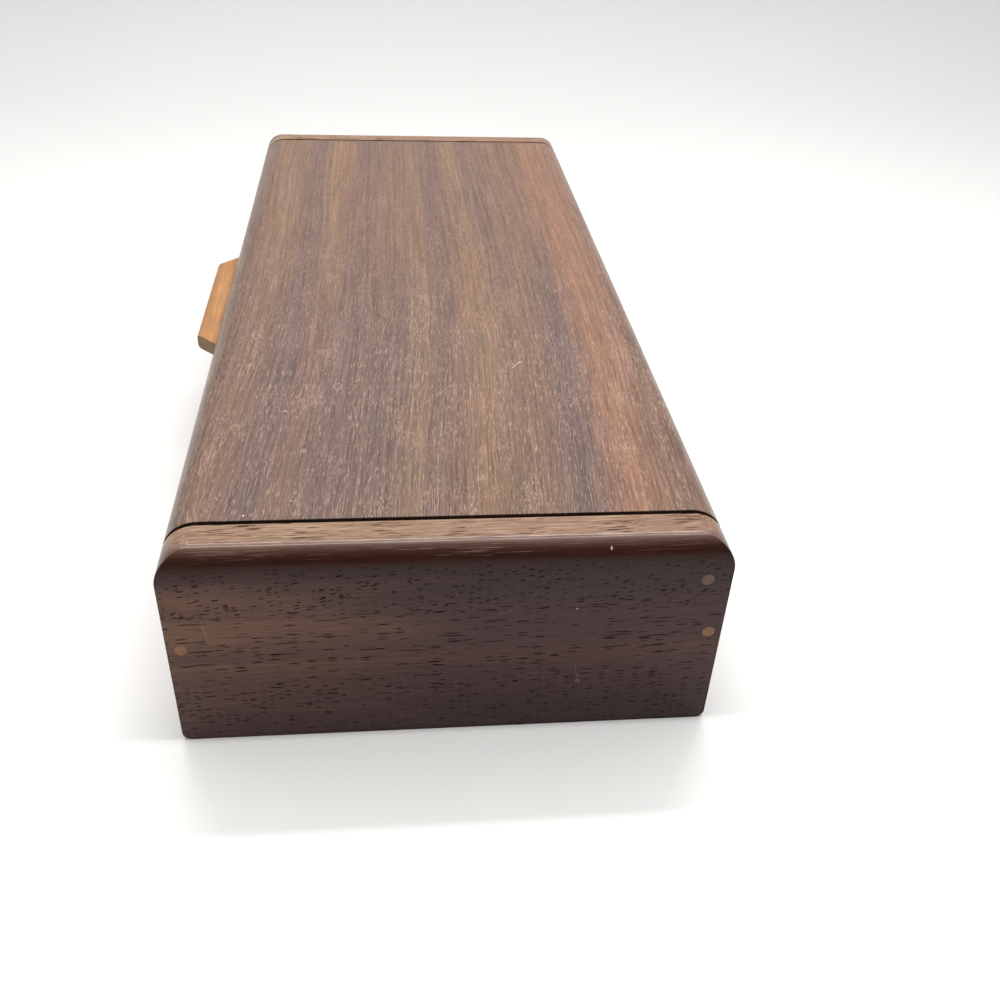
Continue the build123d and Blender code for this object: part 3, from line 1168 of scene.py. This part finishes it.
@dataclass
class Walls(Assembly):
    """The front and back walls between the end panels.

    Attributes:
        joinery: The cuts that they share with the other pieces.
        foot_round: The radius of the outer lower edge, in metres.
        arris: The radius of both top edges, in metres.
    """

    joinery: Joinery
    foot_round: float = 2.3 * MM
    arris: float = 0.4 * MM

    def make(self) -> None:
        """Makes both walls, each from its own stretch of one log."""
        for name, place in (("front_wall", 0.0), ("back_wall", 400.0)):
            wood = Rosewood(
                "rosewood_" + name, Grain.UPRIGHT_ALONG_X, WALL_STRIPES, WALL_STRIPES,
                shift=(place, 0.0, 0.0), pores=WALL_PORES, smoke=0.4,
            )
            seat(self.build(name), Body.BOX, wood.material(), name)

    def build(self, name: str) -> bpy.types.Object:
        """Shapes one wall with its tongues, its ledge over the bottom and its grooves.

        Args:
            name: The wall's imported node.

        Returns:
            The finished wall.
        """
        low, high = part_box(name)
        side = math.copysign(1.0, low.y + high.y)
        outer = side * max(abs(low.y), abs(high.y))
        shoulder = high.x - self.joinery.tongue_length + self.joinery.glue_gap
        wall = Timber.block((-shoulder, low.y, low.z), (shoulder, high.y, high.z))
        foot = wall.edges(lambda middle: middle.z < MM and abs(middle.y - outer) < MM, "x")
        wall.round(foot, self.foot_round, 8)
        wall.round(wall.edges(lambda middle: middle.z > high.z - MM / 10, "x"), self.arris, 3)
        self._tongues(wall, low, high, side, shoulder)
        wall.carve(self._cuts(name))
        return wall.piece(name + "_wood")

    def _tongues(self, wall: Timber, low: Vector, high: Vector, side: float, shoulder: float) -> None:
        """Draws the inner half of each end out into a tongue.

        Args:
            wall: The wall in the making.
            low: The lowest corner of its packed box.
            high: The highest corner.
            side: 1 for the back wall and -1 for the front.
            shoulder: How far from the box's middle the wall ends beside its tongues, in metres.
        """
        bottom_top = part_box("bottom_panel")[1].z
        inner = side * min(abs(low.y), abs(high.y))
        tongue_y = inner + side * self.joinery.tongue_thickness
        wall.score((0, tongue_y, 0), (0, 1, 0))
        wall.score((0, 0, bottom_top), (0, 0, 1))
        wall.score((0, 0, high.z - self.arris), (0, 0, 1))
        for end in (-1.0, 1.0):
            wall.draw_out(
                lambda face: abs(face.calc_center_median().x - end * shoulder) < MM / 100
                and abs(face.calc_center_median().y - inner) < self.joinery.tongue_thickness
                and bottom_top < face.calc_center_median().z < high.z - self.arris,
                (end * (high.x - shoulder), 0, 0),
            )

    def _cuts(self, name: str) -> list[Timber]:
        """Lays out the rebate for the bottom, the grooves for the dividers and the dowel bores.

        Args:
            name: The wall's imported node.

        Returns:
            The shapes to cut out.
        """
        low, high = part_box("bottom_panel")
        room = self.joinery.glue_gap
        tools = [Timber.block((2 * low.x, low.y - room, -MM), (2 * high.x, high.y + room, high.z))]
        for end in ENDS:
            tools.append(self.joinery.bore(f"{name}_dowel_{end}"))
            low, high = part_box("divider_" + end)
            tools.append(Timber.block((low.x, low.y - room, 0), (high.x, high.y + room, high.z)))
        return tools


@dataclass
class Lid(Assembly):
    """The thick lid with its pull.

    Attributes:
        joinery: The cuts that it shares with the other pieces.
        edge_round: The radius of both long top edges, in metres, as all sizes here are.
        hinge_round: The radius of the lower back edge, which rolls about the pins.
        arris: The radius of the lower front edge.
        end_arris: The radius of the edges round both ends.
        pull_taper: The angle of the pull's slanted ends, in degrees.
        pull_reach: How far the pull stands out from the lid.
        pull_ease: The radius of its two front edges.
        pull_arris: The radius of its other edges.
        tongue_half: Half the length of the slot for its tongue.
    """

    joinery: Joinery
    edge_round: float = 9.0 * MM
    hinge_round: float = 5.9 * MM
    arris: float = 0.4 * MM
    end_arris: float = 0.12 * MM
    pull_taper: float = 45.0
    pull_reach: float = 7.9 * MM
    pull_ease: float = 1.2 * MM
    pull_arris: float = 0.3 * MM
    tongue_half: float = 27.0 * MM

    def make(self) -> None:
        """Makes the board and its pull."""
        end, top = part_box("lid_board")[1].x / MM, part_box("lid_board")[1].z / MM
        # The lid's figure is darkened towards its high end as painted shade.
        wood = Rosewood(
            "rosewood_lid", Grain.FLAT_ALONG_X, LID_NEAR, LID_FAR, bend=4.0, shift=(0.0, 0.0, -top),
            flecks=LID_FLECKS, hair=(20.0, 0.42), keenness=(0.5, 1.05), lightness_and_shade=(1.05, 0.86), smoke=0.25,
            # cut_end darkens the lid's ends: partly end grain, partly painted shade in the gaps to the end
            # panels.
            cut_end=(end - 0.24, 0.3), nicks=LID_MARKS,
        )
        seat(self.build_board(), Body.LID, wood.material(), "lid_board")
        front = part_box("lid_pull")[0].y / MM
        wood = TanHardwood("pull_hardwood", Grain.FLAT_ALONG_X, shift=(0.0, -front, 0.0), cut_end=28.2)
        seat(self.build_pull(), Body.LID, wood.material(), "lid_pull")

    def build_board(self) -> bpy.types.Object:
        """Shapes the board, with its lower back edge rolled round the hinge pins.

        Returns:
            The finished board.
        """
        low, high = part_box("lid_board")
        board = Timber.block(low, high)
        board.round(board.edges(lambda middle: middle.z > high.z - MM, "x"), self.edge_round, 24)
        rolled = board.edges(lambda middle: middle.z < low.z + MM and middle.y > high.y - MM, "x")
        board.round(rolled, self.hinge_round, 18)
        landing = board.edges(lambda middle: middle.z < low.z + MM and middle.y < low.y + MM, "x")
        board.round(landing, self.arris, 3)
        board.round(board.sharp_edges(60.0), self.end_arris, 2)
        slot_low, slot_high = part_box("lid_pull")
        slot_low = (-self.tongue_half, low.y - MM, slot_low.z)
        slot_high = (self.tongue_half, slot_high.y + self.joinery.glue_gap, slot_high.z)
        tools = [Timber.block(slot_low, slot_high)]
        for end in ENDS:
            tools.append(self.joinery.bore("hinge_pin_" + end, self.joinery.pin_running_gap))
        board.carve(tools)
        return board.piece("lid_board_wood")

    def build_pull(self) -> bpy.types.Object:
        """Shapes the tapered pull and the tongue behind it.

        Returns:
            The finished pull.
        """
        low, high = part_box("lid_pull")
        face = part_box("lid_board")[0].y
        pull = Timber.block(low, (high.x, face, high.z))
        run_out = self.pull_reach / math.tan(math.radians(self.pull_taper))
        for side in (-1.0, 1.0):
            corner = [vert for vert in pull.bm.verts if vert.co.y < face - MM and vert.co.x * side > 0]
            bmesh.ops.translate(pull.bm, vec=(-side * run_out, 0, 0), verts=corner)
        pull.round(pull.edges(lambda middle: middle.y < face - MM, "x"), self.pull_ease, 5)
        sharp = pull.sharp_edges(30.0)
        free = [edge for edge in sharp if min(vert.co.y for vert in edge.verts) < face - MM / 10]
        pull.round(free, self.pull_arris, 3)
        half = self.tongue_half - self.joinery.glue_gap
        for side in (-1.0, 1.0):
            pull.score((side * half, 0, 0), (1, 0, 0))
        pull.draw_out(
            lambda part: abs(part.calc_center_median().y - face) < MM / 100
            and abs(part.calc_center_median().x) < half and abs(part.normal.y) > 0.9,
            (0, high.y - face, 0),
        )
        return pull.piece("lid_pull_wood")


@dataclass
class Pins(Assembly):
    """The dowels that pin the walls and the pins that the lid turns on.

    Attributes:
        arris: The radius of their rims, in metres.
    """

    arris: float = 0.12 * MM

    def make(self) -> None:
        """Makes the dowels, and the hinge pins of a redder wood."""
        dowel_wood = DowelEndGrain("dowel_end_grain").material()
        red_wood = DowelEndGrain("hinge_pin_end_grain", (0.165, 0.080, 0.060), (0.060, 0.030, 0.024))
        pin_wood = red_wood.material()
        for end in ENDS:
            for kind in PIN_KINDS:
                node = f"{kind}_{end}"
                wood = pin_wood if kind == "hinge_pin" else dowel_wood
                seat(self.build(node), Body.BOX, wood, node)

    def build(self, node: str) -> bpy.types.Object:
        """Shapes one pin with its rims eased.

        Args:
            node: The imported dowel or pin.

        Returns:
            The finished pin.
        """
        low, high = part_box(node)
        pin = Timber.rod(low, high)
        pin.round(pin.sharp_edges(60.0), self.arris, 2)
        return pin.piece(node + "_wood")


@dataclass
class Dividers(Assembly):
    """The two dividers that stand in the walls' grooves.

    Attributes:
        ease: The radius of the top edges, in metres.
    """

    ease: float = 1.2 * MM

    def make(self) -> None:
        """Makes both dividers from one board."""
        wood = TanHardwood("divider_hardwood", Grain.UPRIGHT_ALONG_Y).material()
        for end in ENDS:
            seat(self.build(end), Body.BOX, wood, "divider_" + end)

    def build(self, end: str) -> bpy.types.Object:
        """Shapes one divider with a rounded top edge.

        Args:
            end: The end of the box that it stands nearer to, right or left.

        Returns:
            The finished divider.
        """
        low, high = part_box("divider_" + end)
        board = Timber.block(low, high)
        board.round(board.edges(lambda middle: middle.z > high.z - MM, "y"), self.ease, 8)
        return board.piece("divider_wood_" + end)


class Bottom(Assembly):
    """The bottom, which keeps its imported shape."""

    def make(self) -> None:
        """Dresses the bottom."""
        wood = PaleHardwood("bottom_hardwood").material()
        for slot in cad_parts["bottom_panel"].material_slots:
            slot.material = wood
        log.info("bottom_panel: dressed as packed, on %s", Body.BOX.value)


@dataclass
class LiningPads(Assembly):
    """The suede pads that lie on the bottom, wrapped over card.

    Attributes:
        edge_round: The radius of the turned-over edges, in metres, as all sizes here are.
        cuts: How many cuts divide each side for the soft shape.
        crown: How far the top falls towards its edges.
        waist: How far the sides draw in between the corners.
        puckers: The depth of the faint puckers in the top.
        puckers_to_a_metre: How many puckers lie in a metre.
        fill: How full the pads are, from 0, slack, to 1, tight; not used.
    """

    edge_round: float = 0.7 * MM
    cuts: int = 44
    crown: float = 0.55 * MM
    waist: float = 0.35 * MM
    puckers: float = 0.14 * MM
    puckers_to_a_metre: float = 55.0
    fill: float = 0.75

    def make(self) -> None:
        suede = Suede("brown_suede").material()
        for place in ("right", "centre", "left"):
            name = "lining_pad_" + place
            pad = self.build(name)
            seat(pad, Body.BOX, suede, name)

    def build(self, name: str) -> bpy.types.Object:
        """Shapes one pad with turned-over edges and a soft, slightly uneven top.

        Args:
            name: The pad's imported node.

        Returns:
            The finished pad.
        """
        low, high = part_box(name)
        pad = Timber.block(low, high)
        for along in "xy":
            lines = pad.edges(lambda middle: True, along)
            bmesh.ops.subdivide_edges(pad.bm, edges=lines, cuts=self.cuts, use_grid_fill=True)
        pad.round(pad.sharp_edges(60.0), self.edge_round, 4)
        self._soften(pad, low, high)
        return pad.piece(name + "_suede", 80.0)

    def _soften(self, pad: Timber, low: Vector, high: Vector) -> None:
        """Lowers the top towards its edges, and draws the sides in between the corners.

        Args:
            pad: The pad in the making.
            low: The lowest corner of its packed box.
            high: The highest corner.
        """
        middle = (low + high) / 2
        half = (high - low) / 2
        for vert in pad.bm.verts:
            u = (vert.co.x - middle.x) / half.x
            v = (vert.co.y - middle.y) / half.y
            height = (vert.co.z - low.z) / (high.z - low.z)
            spot = vert.co.xy * self.puckers_to_a_metre
            pucker = 0.5 + 0.5 * noise.noise(Vector((spot.x, spot.y, 3.7)))
            sunk = self.crown * min(1.0, u**8 + v**8) + self.puckers * pucker
            vert.co.z -= height * sunk
            vert.co.x -= self.waist * u * (1 - v**4)
            vert.co.y -= self.waist * v * (1 - u**4)


@dataclass
class Studio(Assembly):
    """The white sweep, the lamps above it and the camera.

    Attributes:
        lamp_height: The lamps' height above the floor, in metres, as all sizes here are.
        lamp_length: The length of each lamp.
        lamp_width: The width of each lamp.
        lamp_power: The power of each lamp, in watts.
        lamp_places: Where each lamp hangs along the box.
        lamp_side: How far behind the box's middle they hang.
        floor_reach: How far the floor runs out from the box's middle.
        fold: Where along the box's length the sweep starts to rise.
        fold_radius: The radius of its curve.
        fold_angle: How far round it curves, in degrees.
        room_dim: How strongly the room shines from behind the camera.
        room_bright: How strongly it shines from ahead.
        room_seen: How bright it looks where the camera sees it.
        camera_place: Where the camera stands.
        camera_heading: The way it points, in degrees round from the X axis.
        camera_dip: How far it looks down, in degrees.
        camera_roll: How far it leans to one side, in degrees.
        lens: Its focal length in millimetres, for a 36 mm sensor.
    """

    lamp_height: float = 0.60
    lamp_length: float = 0.50
    lamp_width: float = 0.04
    lamp_power: float = 1.95
    lamp_places: tuple[float, float] = (0.1556, -0.153)
    lamp_side: float = 0.03
    floor_reach: float = 3.0
    fold: float = -0.43
    fold_radius: float = 0.9
    fold_angle: float = 75.0
    room_dim: float = 0.13
    room_bright: float = 1.10
    room_seen: float = 0.9
    camera_place: tuple[float, float, float] = (0.340863, -0.013430, 0.204013)
    camera_heading: float = 172.781
    camera_dip: float = 35.393
    camera_roll: float = 2.90
    lens: float = 37.847

    def make(self) -> None:
        """Sets up the floor, the light, the camera and the picture."""
        self.build_sweep()
        self.hang_lamps()
        self.light_room()
        self.place_camera()
        self.set_picture()

    def build_sweep(self) -> None:
        """Lays the floor and curves it up behind the box."""
        bm = bmesh.new()
        ends = [bm.verts.new((self.floor_reach, side * self.floor_reach, 0.0)) for side in (-1, 1)]
        flat = bmesh.ops.extrude_edge_only(bm, edges=[bm.edges.new(ends)])["geom"]
        verts = [item for item in flat if isinstance(item, bmesh.types.BMVert)]
        bmesh.ops.translate(bm, vec=(self.fold - self.floor_reach, 0, 0), verts=verts)
        crosswise = [edge for edge in bm.edges if all(vert in verts for vert in edge.verts)]
        bmesh.ops.spin(
            bm, geom=crosswise, cent=(self.fold, 0, self.fold_radius), axis=(0, 1, 0),
            angle=math.radians(self.fold_angle), steps=24, use_duplicate=False,
        )
        bmesh.ops.translate(bm, vec=(0, 0, -0.05 * MM), verts=bm.verts)
        bmesh.ops.recalc_face_normals(bm, faces=bm.faces)
        mesh = bpy.data.meshes.new("sweep")
        bm.to_mesh(mesh)
        bm.free()
        mesh.shade_smooth()
        sweep = bpy.data.objects.new("sweep", mesh)
        bpy.context.scene.collection.objects.link(sweep)
        mesh.materials.append(SweepPaper("white_sweep").material())

    def hang_lamps(self) -> None:
        """Hangs two long soft lamps across the box."""
        for number, place in enumerate(self.lamp_places):
            data = bpy.data.lights.new(f"lamp_{number}", "AREA")
            data.shape = "RECTANGLE"
            data.size = self.lamp_width
            data.size_y = self.lamp_length
            data.energy = self.lamp_power
            data.color = (1.0, 0.985, 0.965)
            lamp = bpy.data.objects.new(f"lamp_{number}", data)
            lamp.location = (place, self.lamp_side, self.lamp_height)
            lamp.visible_camera = False
            bpy.context.scene.collection.objects.link(lamp)

    def light_room(self) -> None:
        """Makes the room pale behind and above, and dim behind the camera."""
        world = bpy.data.worlds.new("pale_room")
        bpy.context.scene.world = world
        world.use_nodes = True
        tree = world.node_tree
        back = tree.nodes["Background"]
        direction = tree.nodes.new("ShaderNodeTexCoord").outputs["Generated"]
        split = tree.nodes.new("ShaderNodeSeparateXYZ")
        tree.links.new(direction, split.inputs[0])
        ahead = tree.nodes.new("ShaderNodeMapRange")
        ahead.interpolation_type = "SMOOTHSTEP"
        run = {"From Min": 0.75, "From Max": -0.45, "To Min": self.room_dim, "To Max": self.room_bright}
        for name, value in run.items():
            ahead.inputs[name].default_value = value
        tree.links.new(split.outputs[0], ahead.inputs["Value"])
        seen = tree.nodes.new("ShaderNodeLightPath").outputs["Is Camera Ray"]
        strength = tree.nodes.new("ShaderNodeMix")
        tree.links.new(seen, strength.inputs[0])
        tree.links.new(ahead.outputs[0], strength.inputs[2])
        strength.inputs[3].default_value = self.room_seen
        tree.links.new(strength.outputs[0], back.inputs["Strength"])
        back.inputs["Color"].default_value = (1.0, 1.0, 1.0, 1.0)

    def place_camera(self) -> None:
        """Stands the camera where the photograph was taken from."""
        data = bpy.data.cameras.new("camera")
        data.lens = self.lens
        data.sensor_width = 36.0
        data.clip_start = 0.01
        data.clip_end = 20.0
        camera = bpy.data.objects.new("camera", data)
        heading = Matrix.Rotation(math.radians(self.camera_heading - 90), 4, "Z")
        dip = Matrix.Rotation(math.radians(90 - self.camera_dip), 4, "X")
        roll = Matrix.Rotation(math.radians(self.camera_roll), 4, "Z")
        camera.matrix_world = Matrix.Translation(self.camera_place) @ heading @ dip @ roll
        bpy.context.scene.collection.objects.link(camera)
        bpy.context.scene.camera = camera

    def set_picture(self) -> None:
        """Chooses a plain tone curve."""
        bpy.context.scene.view_settings.view_transform = "Standard"
        bpy.context.scene.view_settings.look = "None"


def write_sizes() -> None:
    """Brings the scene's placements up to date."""
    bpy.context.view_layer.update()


def main() -> None:
    """Makes the box piece by piece, then the studio round it."""
    logging.basicConfig(level=logging.INFO, format="%(name)s %(message)s")
    joinery = Joinery()
    box = (Lid(joinery), EndPanels(joinery), Walls(joinery), Pins(), Dividers(), Bottom(), LiningPads())
    for assembly in (*box, Studio()):
        log.info("making %s", type(assembly).__name__)
        assembly.make()
    write_sizes()


if __name__ == "__main__":
    main()
